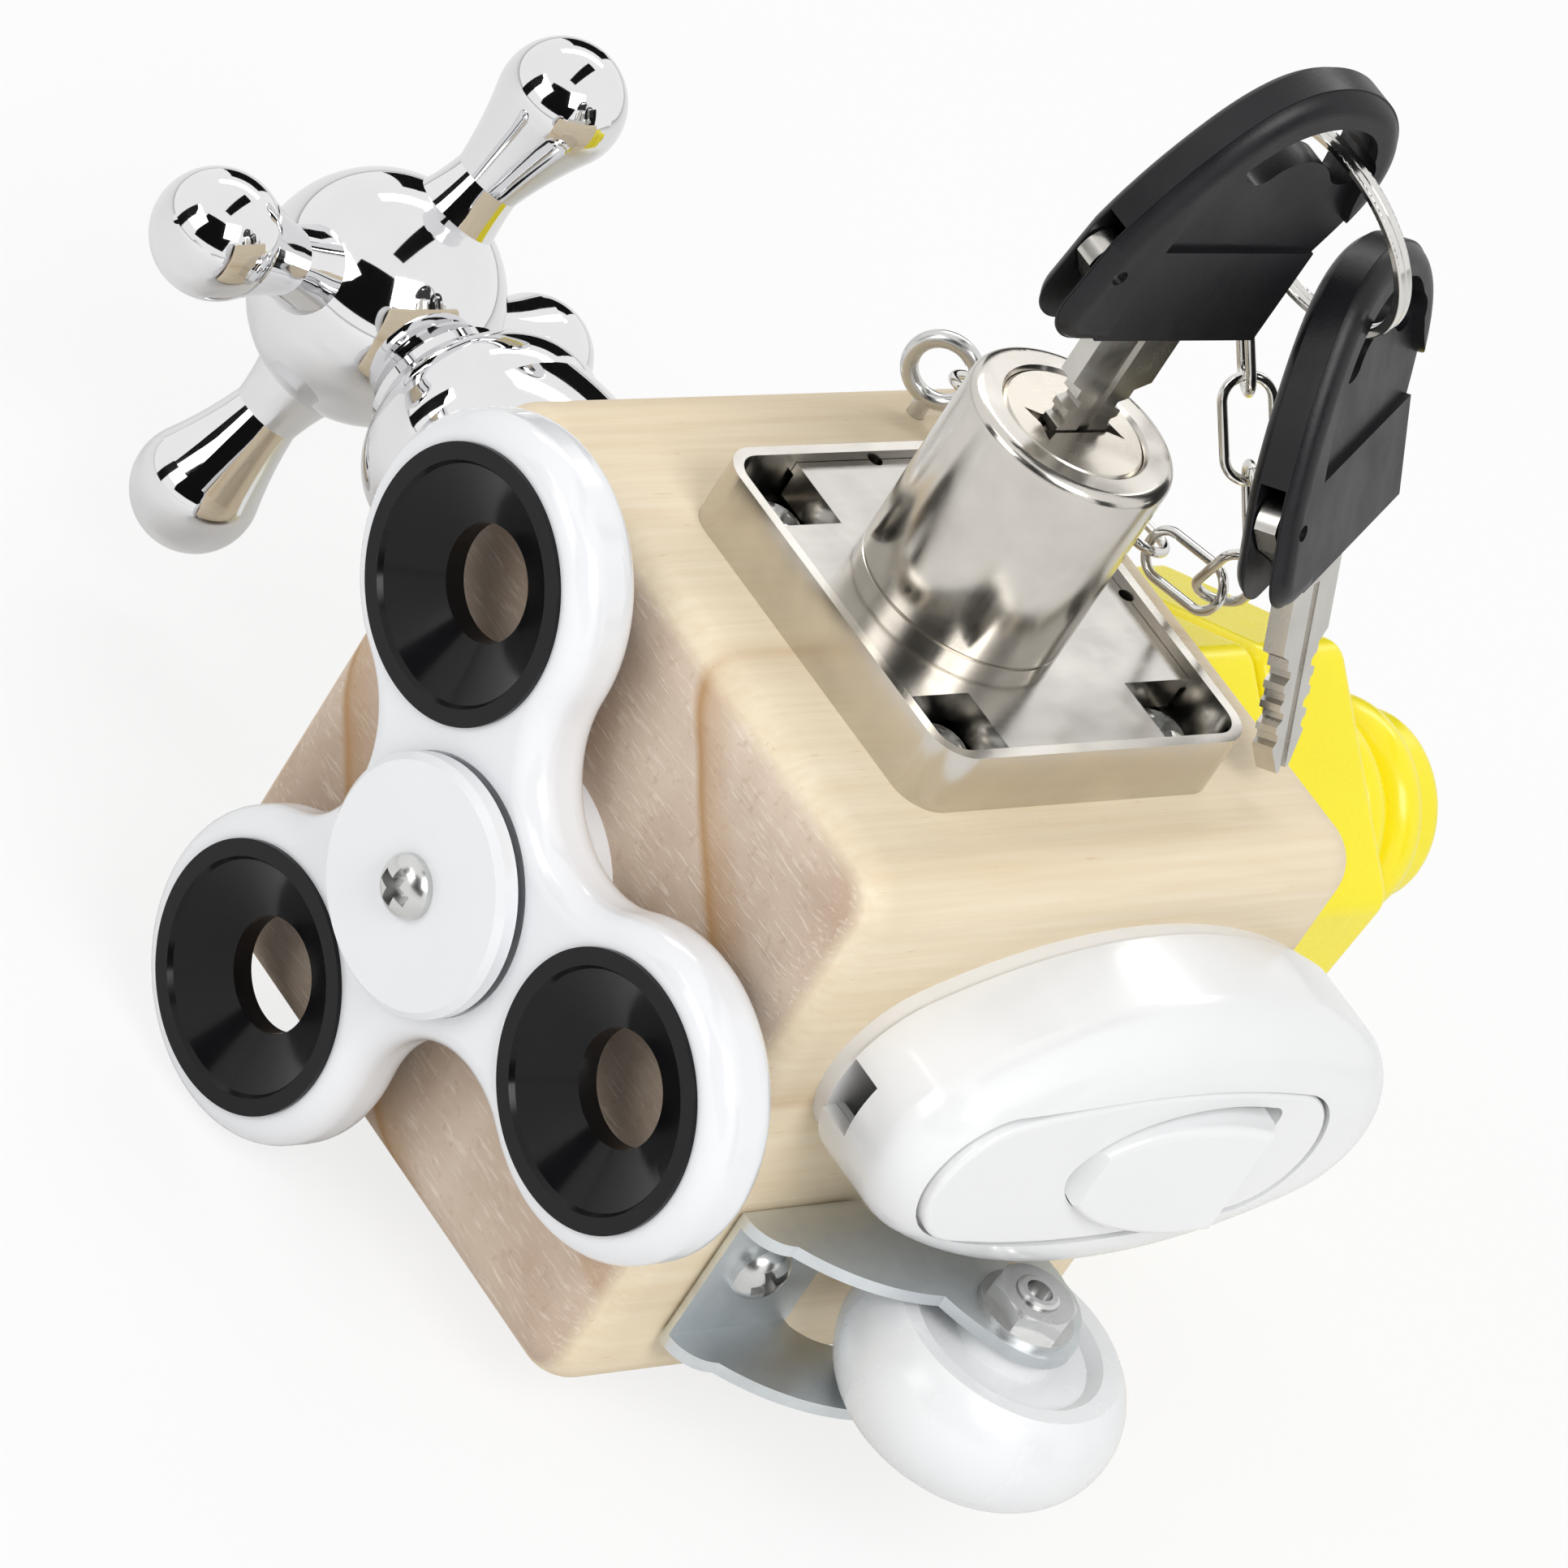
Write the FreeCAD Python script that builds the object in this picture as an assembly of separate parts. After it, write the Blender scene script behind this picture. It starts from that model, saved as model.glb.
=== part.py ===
import FreeCAD, Part

import math
import os

# Palm-sized wooden busy cube, a hand toy with a fitting screwed to five of its faces.
# Millimetres. The origin is the centre of the bare bottom face of the wood.
# The hand spinner is on the -X face, the switch and the caster on -Y, the drawer lock
# on +Z, the tap handle on +Y, the toy bolt and nut on +X.

V = FreeCAD.Vector

# Wood block
side = 60.0
half = side / 2
edge_round = 4.5
snug = 0.02            # gap round a shank in its pilot hole, and round pressed-in pieces
running = 0.06         # radial gap of a running fit
apart = 0.3            # gap between pieces that move past each other

# Hand spinner
spinner_y = 0.3
spinner_z = 31.6
lobe_count = 3
lobe_turn = 3.7
lobe_orbit = 25.0
lobe_r = 14.4
notch_depth = 13.5     # centre of the spinner to the bottom of the notch between lobes
spinner_thick = 7.0
spinner_soft = 2.6
weight_r = 11.0
weight_lip = 0.7
weight_lip_thick = 0.45
weight_hole_r = 5.0
funnel_r = 9.9
funnel_depth = 2.5
race_bore_r = 4.0
race_inner_r = 6.0
race_outer_bore_r = 9.0
ball_count = 7
ball_r = 1.98
ball_pitch_r = 7.5
ball_gap = 0.07
cap_rim_r = 11.0
cap_thick = 2.2
cap_step_r = 5.4
cap_step = 0.5
spinner_screw_r = 1.6
spinner_screw_len = 28.0

# Drawer lock
lock_x = -1.3
lock_y = -3.2
case_w = 36.0
case_d = 36.4
case_h = 6.2
case_wall = 1.0
case_corner_r = 3.5
cover_thick = 1.0
cover_sink = 1.0
window_x = 7.8
window_y = 7.2
lip_drop = 2.2
lock_screw_inset = 4.2
barrel_x = -3.7
barrel_y = -2.5
barrel_r = 9.5
barrel_top = 25.3
foot_h = 1.1
plug_r = 6.5
plug_bottom = 4.4
bolt_width = 12.0
bolt_thick = 2.4
bolt_throw = 6.0
bolt_slack = 0.15
cam_pin_r = 1.2
cam_slot_play = 0.9
wafer_count = 5
wafer_thick = 0.8
wafer_pitch = 2.6

# Folding keys, drawn in their own frame: pin at the origin, u across, v away from the tip
key_axis_u = 9.8
head_v0 = -7.6
rim_thick = 5.0
rim_soft = 1.9
web_thick = 2.6
panel_thick = 3.8
panel_left = 3.2
panel_top = 2.2
slit = 2.3
slit_right = 15.6
slit_top = 4.2
slot_centre = (15.3, 7.6)
slot_bow = 5.8
slot_width = 3.6
blade_thick = 1.9
blade_w = 6.0
shoulder_w = 9.0
shoulder_v = -13.0
blade_tip_v = -24.6
key_pin_r = 0.7
key_pin_u = 0.6
key_1_pin_z = side + 43.5
key_1_lean = -1.25
key_2_pin = (8.76, -16.01, side + 25.77)
key_2_across = (0.882, 0.4434, 0.1597)
key_2_along = (-0.309, 0.2883, 0.9063)
key_2_fold = -12.0
ring_centre = (10.85, -1.36, side + 46.3)
ring_normal = (0.8603, 0.1515, 0.4868)
ring_mean_r = 10.26
ring_wire = 1.4
ring_flat = 0.9

# Chain between the cube and the key ring
eye_x = 14.6
eye_y = 24.5
eye_lift = 1.2
eye_wire_r = 0.8
eye_mean_r = 3.0
eye_shank_len = 9.0
eye_face = (0.82, 0.57, 0)
link_wire_r = 0.45
link_len = 10.0
link_width = 5.2
link_slack = 0.5
first_link_at = (17.3, 19.7, side + 5.6)
chain_route = (
    (19.6, 13.2, side + 6.5), (21.2, 4.5, side + 6.4), (21.7, -2.0, side + 6.6), (21.8, -7.6, side + 8.6),
    (19.3, -9.4, side + 15.2), (13.6, 6.6, side + 38.5),
)
chain_roll = (0.1, 0.25, 1.0)
lower_links = 5

# Tap handle
tap_x = 1.5
tap_z = 30.3
tap_arm_turn = 71.0
tap_arms = 4
arm_plane = 41.2
arm_reach = 24.5
arm_bulb_r = 5.9
arm_neck_r = 3.3
arm_neck_at = 14.8
arm_root_r = 5.2
hub_r = 11.6
hub_neck_r = 5.6
flange_foot_r = 13.5
flange_r = 11.9
flange_h = 28.0
flange_wall = 1.6
collar_r = 6.7
collar_h = 2.6
spindle_r = 3.0
spindle_wood = 16.0
cap_r = 4.6
tap_screw_r = 1.8

# Toy bolt and nut
toy_y = 2.2
toy_z = 30.6
toy_flats = 40.0
toy_corner_r = 2.6
toy_edge = 1.2
toy_head_h = 13.0
toy_nut_h = 11.2
toy_len = 46.0
toy_core_r = 8.9
toy_ridge_r = 10.3
toy_pitch = 4.8
toy_bore_r = 4.6
toy_bore_floor = 9.0
toy_screw_r = 1.7
toy_screw_len = 24.0

# Inline switch
switch_x = 5.75
switch_z = 39.9
switch_len = 56.5
switch_w = 29.2
switch_tip_r = 10.0
switch_base_h = 3.4
switch_foot_h = 1.8
switch_h = 14.2
switch_wall = 1.6
switch_soft = 5.6
panel_x = 2.3
panel_len = 44.4
panel_w = 17.0
panel_tip_r = 7.0
rocker_x = 6.2
rocker_len = 20.4
rocker_w = 12.6
rocker_proud = 2.0
rocker_tilt = 7.0
rocker_pin_r = 0.8
rocker_pin_drop = 5.0
cord_hole_w = 5.7
cord_hole_h = 3.6
case_post_x = 22.3
case_post_y = 3.2

# Caster
caster_x = -14.3
caster_z = 15.2
fork_metal = 1.2
fork_w = 15.4
plate_len = 13.4
axle_x = 1.3
axle_out = 14.55
wheel_r = 13.0
wheel_side_r = 10.4
wheel_w = 11.8
wheel_hub_r = 6.2
wheel_hub_sink = 1.6
axle_r = 2.0
nut_flats = 7.0
caster_screw_r = 1.8
caster_screw_at = (-1.2, 1.0)


def outline(start, *steps):
    """Closed wire in the XY plane: two numbers run straight, four go by an arc through a point."""
    edges = []
    here = V(start[0], start[1], 0)
    for step in steps + (start,):
        there = V(step[-2], step[-1], 0)
        if len(step) == 4:
            edges.append(Part.Arc(here, V(step[0], step[1], 0), there).toShape())
        elif there.distanceToPoint(here) > 1e-6:
            edges.append(Part.makeLine(here, there))
        here = there
    return Part.Wire(edges)


def turned(start, *steps):
    """Body of revolution about Z from a closed outline of (radius, height)."""
    face = Part.Face(outline(start, *steps))
    face.rotate(V(0, 0, 0), V(1, 0, 0), 90)
    return face.revolve(V(0, 0, 0), V(0, 0, 1), 360)


def slab(wire, z0, z1):
    """Wire in the XY plane drawn out from z0 to z1."""
    solid = Part.Face(wire).extrude(V(0, 0, z1 - z0))
    solid.translate(V(0, 0, z0))
    return solid


def rod(radius, z0, z1, x=0.0, y=0.0):
    return Part.makeCylinder(radius, z1 - z0, V(x, y, z0))


def tube(outer, inner, z0, z1, x=0.0, y=0.0):
    return rod(outer, z0, z1, x, y).cut(rod(inner, z0 - 1, z1 + 1, x, y))


def block(x0, x1, y0, y1, z0, z1):
    return Part.makeBox(x1 - x0, y1 - y0, z1 - z0, V(x0, y0, z0))


def frame(origin, x_axis, z_axis):
    """Placement whose Z leaves the face that a fitting stands on."""
    x = V(*x_axis).normalize()
    z = V(*z_axis).normalize()
    y = z.cross(x)
    matrix = FreeCAD.Matrix(
        x.x, y.x, z.x, origin[0],
        x.y, y.y, z.y, origin[1],
        x.z, y.z, z.z, origin[2],
        0, 0, 0, 1)
    return FreeCAD.Placement(matrix)


def put(shape, placement):
    moved = shape.copy()
    moved.Placement = placement.multiply(moved.Placement)
    return moved


def soften(solid, radius, pick):
    """Round the edges for which pick(edge) is true."""
    edges = [edge for edge in solid.Edges if pick(edge)]
    return solid.makeFillet(radius, edges)


def at_height(*heights):
    """Edge test: the whole edge lies at one of the given heights."""
    def pick(edge):
        box = edge.BoundBox
        return any(abs(box.ZMin - h) < 1e-4 and abs(box.ZMax - h) < 1e-4 for h in heights)
    return pick


def rounded_rect(x0, x1, y0, y1, r):
    """Rectangle with round corners, as a wire."""
    k = r * (1 - math.sqrt(0.5))
    return outline(
        (x0 + r, y0), (x1 - r, y0), (x1 - k, y0 + k, x1, y0 + r),
        (x1, y1 - r), (x1 - k, y1 - k, x1 - r, y1),
        (x0 + r, y1), (x0 + k, y1 - k, x0, y1 - r),
        (x0, y0 + r), (x0 + k, y0 + k, x0 + r, y0))


def oval(length, width, tip_r, x=0.0):
    """Long oval: two flat-arched sides that run smoothly into round tips."""
    a = length / 2
    b = width / 2
    reach = a - tip_r
    side_r = (reach ** 2 + b ** 2 - tip_r ** 2) / (2 * (b - tip_r))
    k = tip_r / (side_r - tip_r)
    px = reach + reach * k
    py = (side_r - b) * k
    return outline(
        (x - px, -py), (x, -b, x + px, -py), (x + a, 0, x + px, py),
        (x, b, x - px, py), (x - a, 0, x - px, -py))


def leaf(length, width):
    """Plan of the rocker: round nose at one end, square corners at the other."""
    a = length / 2
    b = width / 2
    c = b * 0.9
    r = 1.6
    k = r * (1 - math.sqrt(0.5))
    half_arch = [(a - r, c), (a * 0.4, b), (-a * 0.2, b * 0.93), (-a * 0.7, b * 0.62)]
    points = half_arch + [(-a, 0)] + [(x, -y) for x, y in reversed(half_arch)]
    arch = Part.BSplineCurve()
    arch.interpolate([V(x, y, 0) for x, y in points])
    return Part.Wire([
        arch.toShape(),
        Part.Arc(V(a - r, -c, 0), V(a - k, -c + k, 0), V(a, -c + r, 0)).toShape(),
        Part.makeLine(V(a, -c + r, 0), V(a, c - r, 0)),
        Part.Arc(V(a, c - r, 0), V(a - k, c - k, 0), V(a - r, c, 0)).toShape()])


def cross_recess(radius, top, depth):
    """Cross-shaped driver recess, open at height top."""
    arm = radius * 0.62
    blade = radius * 0.2
    return block(-arm, arm, -blade, blade, top - depth, top + 1).fuse(
        block(-blade, blade, -arm, arm, top - depth, top + 1))


def wood_screw(head_r, head_h, shank_r, length):
    """Pan-head screw seated at height 0, with its point down."""
    body = turned(
        (0, -length), (shank_r, -length + 2 * shank_r), (shank_r, 0), (head_r, 0),
        (head_r, head_h * 0.35), (head_r * 0.72, head_h * 0.9, 0, head_h))
    return body.cut(cross_recess(head_r, head_h, head_h * 0.65))


def pilot(shank_r, length):
    """Hole for a wood screw, with its conical end."""
    r = shank_r + snug
    return turned((0, -length - snug), (r, -length + 2 * shank_r), (r, 1), (0, 1))


spin_at = frame((-half, spinner_y, spinner_z), (0, -1, 0), (-1, 0, 0))
lock_at = frame((0, 0, side), (1, 0, 0), (0, 0, 1))
tap_at = frame((tap_x, half, tap_z), (-1, 0, 0), (0, 1, 0))
toy_at = frame((half, toy_y, toy_z), (0, 1, 0), (1, 0, 0))
switch_at = frame((switch_x, -half, switch_z), (1, 0, 0), (0, -1, 0))
caster_at = frame((caster_x, -half, caster_z), (1, 0, 0), (0, -1, 0))

parts = {}
pilots = []


# Hand spinner
def spinner_outline():
    """Lobes joined by hollow arcs that touch both neighbours."""
    gap = math.pi / lobe_count
    reach = lobe_orbit * math.cos(gap)
    aside = lobe_orbit * math.sin(gap)
    lead = notch_depth - reach
    hollow_r = (aside ** 2 + lead ** 2 - lobe_r ** 2) / (2 * (lobe_r - lead))
    steps = []
    for i in range(lobe_count):
        lobe = math.radians(lobe_turn) + 2 * gap * i
        after = lobe + gap
        lobe_c = V(math.cos(lobe), math.sin(lobe), 0) * lobe_orbit
        before_c = V(math.cos(lobe - gap), math.sin(lobe - gap), 0) * (notch_depth + hollow_r)
        after_c = V(math.cos(after), math.sin(after), 0) * (notch_depth + hollow_r)
        start = lobe_c + (before_c - lobe_c).normalize() * lobe_r
        end = lobe_c + (after_c - lobe_c).normalize() * lobe_r
        far = V(math.cos(lobe), math.sin(lobe), 0) * (lobe_orbit + lobe_r)
        dip = V(math.cos(after), math.sin(after), 0) * notch_depth
        steps.append((start, far, end, dip))
    edges = []
    for i, (start, far, end, dip) in enumerate(steps):
        following = steps[(i + 1) % lobe_count][0]
        edges.append(Part.Arc(start, far, end).toShape())
        edges.append(Part.Arc(end, dip, following).toShape())
    return Part.Wire(edges)


def lobe_centres():
    turns = [math.radians(lobe_turn + 360 / lobe_count * i) for i in range(lobe_count)]
    return [(lobe_orbit * math.cos(t), lobe_orbit * math.sin(t)) for t in turns]


def spinner():
    z0 = cap_thick + cap_step
    z1 = z0 + spinner_thick
    body = slab(spinner_outline(), z0, z1)
    body = soften(body, spinner_soft, at_height(z0, z1))
    body = body.cut(rod(weight_r + snug, z0 - 1, z1 + 1))
    for x, y in lobe_centres():
        body = body.cut(rod(weight_r + snug, z0 - 1, z1 + 1, x, y))
    parts["spinner_body"] = put(body, spin_at)

    # Ring weights, dished on both faces
    lip_r = weight_r + weight_lip
    for i, (x, y) in enumerate(lobe_centres()):
        ring = turned(
            (weight_r, z0), (lip_r, z0), (lip_r, z0 - weight_lip_thick),
            (funnel_r + 0.3, z0 - weight_lip_thick), (funnel_r, z0),
            (weight_hole_r, z0 + funnel_depth), (weight_hole_r, z1 - funnel_depth),
            (funnel_r, z1), (funnel_r + 0.3, z1 + weight_lip_thick),
            (lip_r, z1 + weight_lip_thick), (lip_r, z1), (weight_r, z1))
        ring.translate(V(x, y, 0))
        parts["spinner_ring_%d" % (i + 1)] = put(ring, spin_at)

    # Ball bearing
    mid = (z0 + z1) / 2
    groove = Part.makeTorus(ball_pitch_r, ball_r + ball_gap, V(0, 0, mid))
    outer = tube(weight_r, race_outer_bore_r, z0, z1).cut(groove)
    inner = tube(race_inner_r, race_bore_r, z0, z1).cut(groove)
    parts["bearing_outer_race"] = put(outer, spin_at)
    parts["bearing_inner_race"] = put(inner, spin_at)
    cage = tube(ball_pitch_r + 1.0, ball_pitch_r - 1.0, mid - 0.8, mid + ball_r + 0.9)
    balls = []
    for i in range(ball_count):
        turn = 2 * math.pi * i / ball_count
        centre = V(ball_pitch_r * math.cos(turn), ball_pitch_r * math.sin(turn), mid)
        cage = cage.cut(Part.makeSphere(ball_r + ball_gap, centre))
        balls.append(Part.makeSphere(ball_r, centre))
    parts["bearing_cage"] = put(cage, spin_at)
    parts["bearing_balls"] = put(Part.makeCompound(balls), spin_at)

    # Caps either side, and the screw through them
    boss = spinner_thick / 2 - 0.1
    hole = spinner_screw_r + 0.1
    bevel = 0.6
    rear = turned(
        (hole, 0), (cap_rim_r, 0), (cap_rim_r, cap_thick - bevel), (cap_rim_r - bevel, cap_thick),
        (cap_step_r, cap_thick), (cap_step_r, z0), (race_bore_r - snug, z0),
        (race_bore_r - snug, z0 + boss), (hole, z0 + boss))
    top = z1 + cap_step + cap_thick
    front = turned(
        (hole, z1 - boss), (race_bore_r - snug, z1 - boss), (race_bore_r - snug, z1),
        (cap_step_r, z1), (cap_step_r, z1 + cap_step), (cap_rim_r - bevel * 0.5, z1 + cap_step),
        (cap_rim_r, z1 + cap_step + bevel * 0.5), (cap_rim_r, top - bevel), (cap_rim_r - bevel, top),
        (hole, top))
    parts["spinner_rear_cap"] = put(rear, spin_at)
    parts["spinner_front_cap"] = put(front, spin_at)
    screw = wood_screw(2.8, 1.7, spinner_screw_r, spinner_screw_len)
    screw.translate(V(0, 0, top))
    parts["spinner_screw"] = put(screw, spin_at)
    hole_shape = pilot(spinner_screw_r, spinner_screw_len)
    hole_shape.translate(V(0, 0, top))
    pilots.append(put(hole_shape, spin_at))


# Drawer lock
def lock():
    x0 = lock_x - case_w / 2
    x1 = lock_x + case_w / 2
    y0 = lock_y - case_d / 2
    y1 = lock_y + case_d / 2
    w = case_wall
    case = slab(rounded_rect(x0, x1, y0, y1, case_corner_r), 0, case_h)
    case = case.cut(slab(rounded_rect(x0 + w, x1 - w, y0 + w, y1 - w, case_corner_r - w), w, case_h + 1))
    bolt_z0 = w + bolt_slack
    bolt_z1 = bolt_z0 + bolt_thick
    bolt_y0 = barrel_y - bolt_width / 2
    bolt_y1 = barrel_y + bolt_width / 2
    case = case.cut(block(x1 - w - 1, x1 + 1, bolt_y0 - bolt_slack, bolt_y1 + bolt_slack,
                          bolt_z0 - bolt_slack, bolt_z1 + bolt_slack))

    # Mounting screws in the four corners
    screw_head_h = 2.0
    seats = [(x, y) for x in (x0 + w + lock_screw_inset, x1 - w - lock_screw_inset)
             for y in (y0 + w + lock_screw_inset, y1 - w - lock_screw_inset)]
    screws = []
    for i, (x, y) in enumerate(seats):
        screw = wood_screw(3.1, screw_head_h, 1.4, 12.0)
        screw.rotate(V(0, 0, 0), V(0, 0, 1), 20 + 25 * i)
        screw.translate(V(x, y, w))
        screws.append(screw)
        hole = pilot(1.4, 12.0)
        hole.translate(V(x, y, w))
        case = case.cut(rod(1.4 + snug, -1, w + 1, x, y))
        pilots.append(put(hole, lock_at))
    parts["lock_screws"] = put(Part.makeCompound(screws), lock_at)

    # Cover plate sunk below the rim, with a folded lip round each corner window
    top = case_h - cover_sink
    low = top - cover_thick
    g = 0.05
    ix0 = x0 + w + g
    ix1 = x1 - w - g
    iy0 = y0 + w + g
    iy1 = y1 - w - g
    cover = slab(rounded_rect(ix0, ix1, iy0, iy1, case_corner_r - w), low, top)
    for sx in (ix0, ix1):
        for sy in (iy0, iy1):
            cx = sx + math.copysign(window_x, lock_x - sx)
            cy = sy + math.copysign(window_y, lock_y - sy)
            px = sx + math.copysign(5.0, sx - lock_x)
            py = sy + math.copysign(5.0, sy - lock_y)
            cover = cover.cut(block(min(px, cx), max(px, cx), min(py, cy), max(py, cy), low - 1, top + 1))
            tx = cx + math.copysign(0.8, lock_x - sx)
            ty = cy + math.copysign(0.8, lock_y - sy)
            inx = sx + math.copysign(0.4, lock_x - sx)
            iny = sy + math.copysign(0.4, lock_y - sy)
            lip = block(min(cx, tx), max(cx, tx), min(iny, ty), max(iny, ty), low - lip_drop, top)
            lip = lip.fuse(block(min(inx, tx), max(inx, tx), min(cy, ty), max(cy, ty), low - lip_drop, top))
            cover = cover.fuse(lip)
    for x, y in ((lock_x, iy0), (lock_x, iy1), (ix0, lock_y), (ix1, lock_y)):
        cover = cover.cut(rod(0.7, low - 1, top + 1, x, y))
    cover = cover.cut(block(ix0 - 1, ix1 + 1, bolt_y0 - 0.4, bolt_y1 + 0.4, low - lip_drop - 1, bolt_z1 + 0.1))

    # Barrel with its foot ring, and the plug that turns in it
    bore = plug_r + running
    plate_hole = plug_r + 1.4
    cover = cover.cut(rod(plate_hole, 0, top + 1, barrel_x, barrel_y)).removeSplitter()
    parts["lock_cover"] = put(cover, lock_at)
    groove = 0.35
    barrel = turned(
        (bore, low), (plate_hole - snug, low), (plate_hole - snug, top), (barrel_r, top),
        (barrel_r, top + foot_h - groove / 2), (barrel_r - groove, top + foot_h),
        (barrel_r, top + foot_h + groove / 2), (barrel_r, barrel_top - 1.1),
        (barrel_r - 0.3, barrel_top - 0.3, barrel_r - 1.1, barrel_top), (bore + 0.25, barrel_top),
        (bore, barrel_top - 0.4))
    barrel.translate(V(barrel_x, barrel_y, 0))
    parts["lock_barrel"] = put(barrel, lock_at)

    plug = turned((0, plug_bottom), (plug_r, plug_bottom), (plug_r, barrel_top - 0.5),
                  (plug_r - 0.3, barrel_top - 0.15), (0, barrel_top - 0.15))
    slot_w = blade_w + 0.5
    slot_t = blade_thick + 0.35
    slot_floor = 8.0
    plug = plug.cut(block(-slot_w / 2, slot_w / 2, -slot_t / 2, slot_t / 2, slot_floor, barrel_top + 1))
    # Bow-tie mouth of the keyway
    wing = slot_w / 2 + 1.1
    for s in (-1, 1):
        tie = outline((s * 1.2, 0), (s * wing, -2.0), (s * (wing - 0.5), 0), (s * wing, 2.0))
        plug = plug.cut(slab(tie, barrel_top - 1.6, barrel_top + 1))
    wafers = []
    for i in range(wafer_count):
        z = slot_floor + 1.2 + wafer_pitch * i
        pocket = block(-5.3, 5.3, -2.9, 2.9, z - running, z + wafer_thick + running)
        plug = plug.cut(pocket)
        wafer = block(-5.2, 5.2, -2.8, 2.8, z, z + wafer_thick)
        window = block(-slot_w / 2, slot_w / 2, -slot_t / 2, slot_t / 2, z - 1, z + 2)
        wafers.append(wafer.cut(window))
    cam_arm = bolt_throw / 2
    pin = rod(cam_pin_r, bolt_z0 + 0.1, plug_bottom + 0.5, -cam_arm, 0)
    plug = plug.fuse(pin)
    turn = FreeCAD.Placement(V(barrel_x, barrel_y, 0), FreeCAD.Rotation(V(0, 0, 1), key_1_lean))
    parts["lock_plug"] = put(put(plug, turn), lock_at)
    parts["lock_wafers"] = put(put(Part.makeCompound(wafers), turn), lock_at)

    # Bolt plate, pushed out past the case by the cam pin
    tail = barrel_x - cam_arm - 8.0
    bolt = block(tail, x1 - 0.1, bolt_y0, bolt_y1, bolt_z0, bolt_z1)
    sweep = cam_pin_r + cam_slot_play
    bolt = bolt.cut(block(barrel_x - cam_arm - sweep, barrel_x - cam_arm + sweep,
                          barrel_y - sweep, barrel_y + cam_arm + sweep, bolt_z0 - 1, bolt_z1 + 1))
    parts["lock_bolt"] = put(bolt, lock_at)
    parts["lock_case"] = put(case, lock_at)


# Folding key: plastic head, steel blade and the pin between them
def head_outline():
    """Edge of the key head: straight foot, flared right side, round crown, sloping left side."""
    right = [(22.0, 1.6), (23.4, 5.0), (24.4, 9.0), (23.8, 13.4), (20.6, 17.4), (15.4, 19.4),
             (10.4, 18.7), (6.6, 16.0), (3.2, 11.6), (0.6, 7.0), (-1.2, 2.6)]
    curve = Part.BSplineCurve()
    curve.interpolate([V(x, y, 0) for x, y in right])
    left = V(-2.2, -3.2, 0)
    foot = V(1.2, head_v0, 0)
    corner = V(21.8, head_v0, 0)
    edges = [curve.toShape(), Part.makeLine(V(right[-1][0], right[-1][1], 0), left)]
    edges.append(Part.Arc(left, V(-1.3, -6.5, 0), foot).toShape())
    edges.append(Part.makeLine(foot, corner))
    edges.append(Part.makeLine(corner, V(right[0][0], right[0][1], 0)))
    return Part.Wire(edges)


def rim_hollow():
    """Area inside the thick rim, open towards the right and the foot."""
    inner = [(3.6, 0.0), (4.3, 5.2), (6.6, 10.8), (10.4, 14.8), (15.4, 16.2), (19.6, 14.8),
             (21.3, 11.4), (21.8, 8.0), (27.0, 4.4)]
    curve = Part.BSplineCurve()
    curve.interpolate([V(x, y, 0) for x, y in inner])
    low = head_v0 - 4
    edges = [curve.toShape(), Part.makeLine(V(inner[-1][0], inner[-1][1], 0), V(27.0, low, 0)),
             Part.makeLine(V(27.0, low, 0), V(3.4, low, 0)),
             Part.makeLine(V(3.4, low, 0), V(inner[0][0], inner[0][1], 0))]
    return Part.Wire(edges)


def ring_slot():
    """Kidney-shaped hole for the key ring."""
    cu, cv = slot_centre
    a0 = math.radians(36)
    a1 = math.radians(146)
    mid = (a0 + a1) / 2
    outer = slot_bow + slot_width / 2
    inner = slot_bow - slot_width / 2
    end = 0.5 * slot_width / slot_bow

    def at(radius, angle):
        return (cu + radius * math.cos(angle), cv + radius * math.sin(angle))
    return outline(
        at(outer, a0), at(outer, mid) + at(outer, a1), at(slot_bow, a1 + end) + at(inner, a1),
        at(inner, mid) + at(inner, a0), at(slot_bow, a0 - end) + at(outer, a0))


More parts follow.
